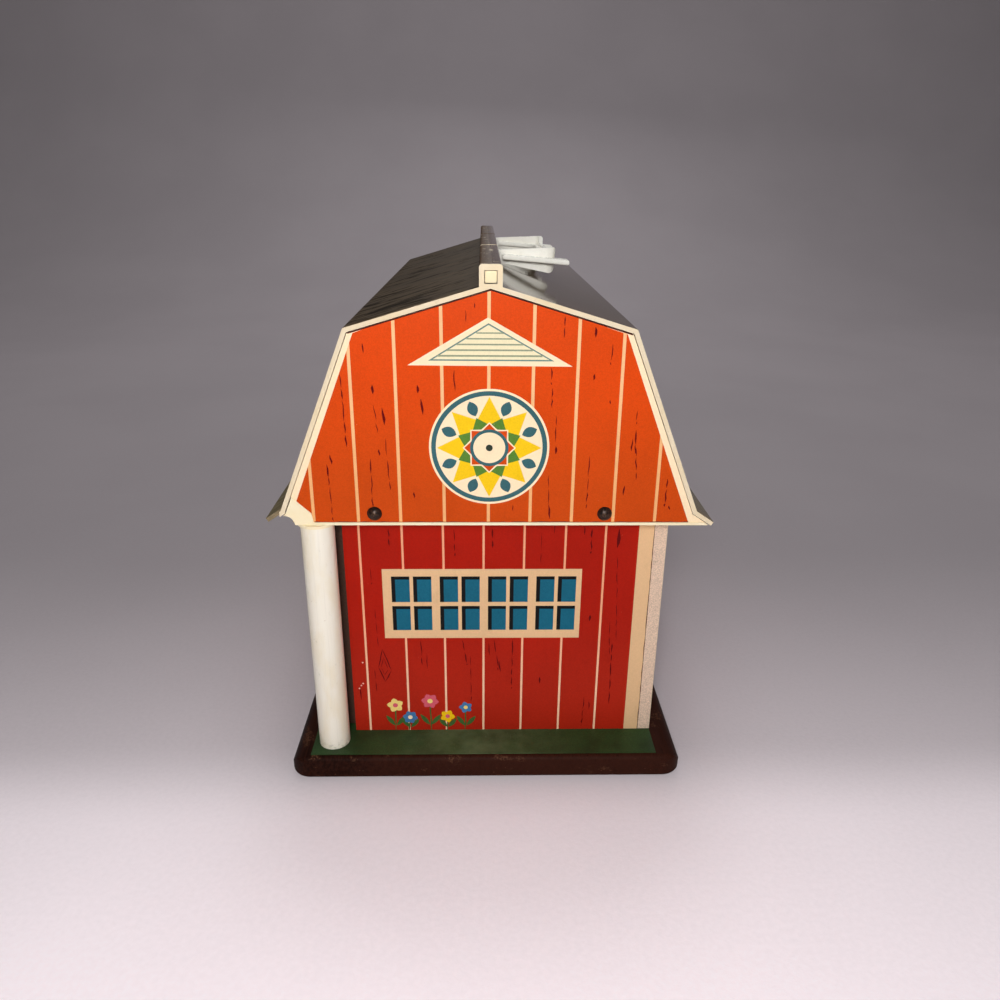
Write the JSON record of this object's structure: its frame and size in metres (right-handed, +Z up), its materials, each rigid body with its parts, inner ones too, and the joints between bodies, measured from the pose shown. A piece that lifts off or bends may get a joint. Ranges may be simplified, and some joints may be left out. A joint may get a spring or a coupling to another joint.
{
  "type": "toy barn",
  "caption": "Toy barn with printed walls, a gambrel roof, a folding carrying handle, a corner post and a front wall with barn doors that swings open.",
  "frame": {"origin": "on the floor, under the middle of the barn", "axes": "+X to the right across the near gable, +Y from the near gable to the far one, +Z up"},
  "size_m": [0.2038, 0.3402, 0.25],
  "materials": {
    "base_wood": "satin stained",
    "bare_wood": "raw",
    "ground_print": "varnished print",
    "lower_print": "varnished print on hardboard",
    "gable_print": "varnished print on hardboard",
    "door_print": "varnished print on hardboard",
    "roof_plastic": "painted gloss",
    "cream_plastic": "satin",
    "white_plastic": "gloss",
    "white_paint": "satin enamel",
    "wire": "drawn wire",
    "hinge_steel": "brushed",
    "screw_steel": "plain",
    "bronze_nail": "browned"
  },
  "bodies": {
    "barn": {"base_board": "base_wood", "ground_sheet": "ground_print", "near_wall": "lower_print", "back_wall": "lower_print", "far_wall": "lower_print", "near_corner_strip": "bare_wood", "catch_peg": "bare_wood", "corner_post": "white_paint", "loft_floor": "bare_wood", "near_gable_panel": "gable_print", "far_gable_panel": "gable_print", "near_sill": "cream_plastic", "far_sill": "cream_plastic", "roof_shell": "roof_plastic", "near_ridge_plug": "cream_plastic", "far_ridge_plug": "cream_plastic", "handle_rod": "wire", "lower_fixed_leaf": "hinge_steel", "upper_fixed_leaf": "hinge_steel", "lower_hinge_pin": "hinge_steel", "upper_hinge_pin": "hinge_steel", "base_screws": "screw_steel", "loft_screws": "screw_steel", "near_gable_nails": "bronze_nail", "far_gable_nails": "bronze_nail", "eave_nails": "bronze_nail", "back_wall_brads": "bronze_nail", "fixed_leaf_screws": "screw_steel"},
    "carrying_handle": {"handle": "white_plastic"},
    "front_wing": {"front_wing_wall": "lower_print", "door_frame": "cream_plastic", "lower_moving_leaf": "hinge_steel", "upper_moving_leaf": "hinge_steel", "moving_leaf_screws": "screw_steel"},
    "near_barn_door": {"near_door": "door_print", "near_door_knob": "white_paint"},
    "far_barn_door": {"far_door": "door_print", "far_door_knob": "white_paint"}
  },
  "joints": [
    {"name": "handle_swing", "type": "hinge", "parent": "barn", "child": "carrying_handle", "pos_m": [0, 0, 0.2449], "axis": [0, -1, 0], "range_deg": [0, 171]},
    {"name": "front_wing_swing", "type": "hinge", "parent": "barn", "child": "front_wing", "pos_m": [-0.0782, 0.1498, 0.074], "axis": [0, 0, -1], "range_deg": [0, 120]},
    {"name": "near_door_swing", "type": "hinge", "parent": "front_wing", "child": "near_barn_door", "pos_m": [-0.0765, -0.0485, 0.058], "axis": [0, 0, 1], "range_deg": [0, 100]},
    {"name": "far_door_swing", "type": "hinge", "parent": "front_wing", "child": "far_barn_door", "pos_m": [-0.0765, 0.0485, 0.058], "axis": [0, 0, -1], "range_deg": [0, 100]}
  ]
}
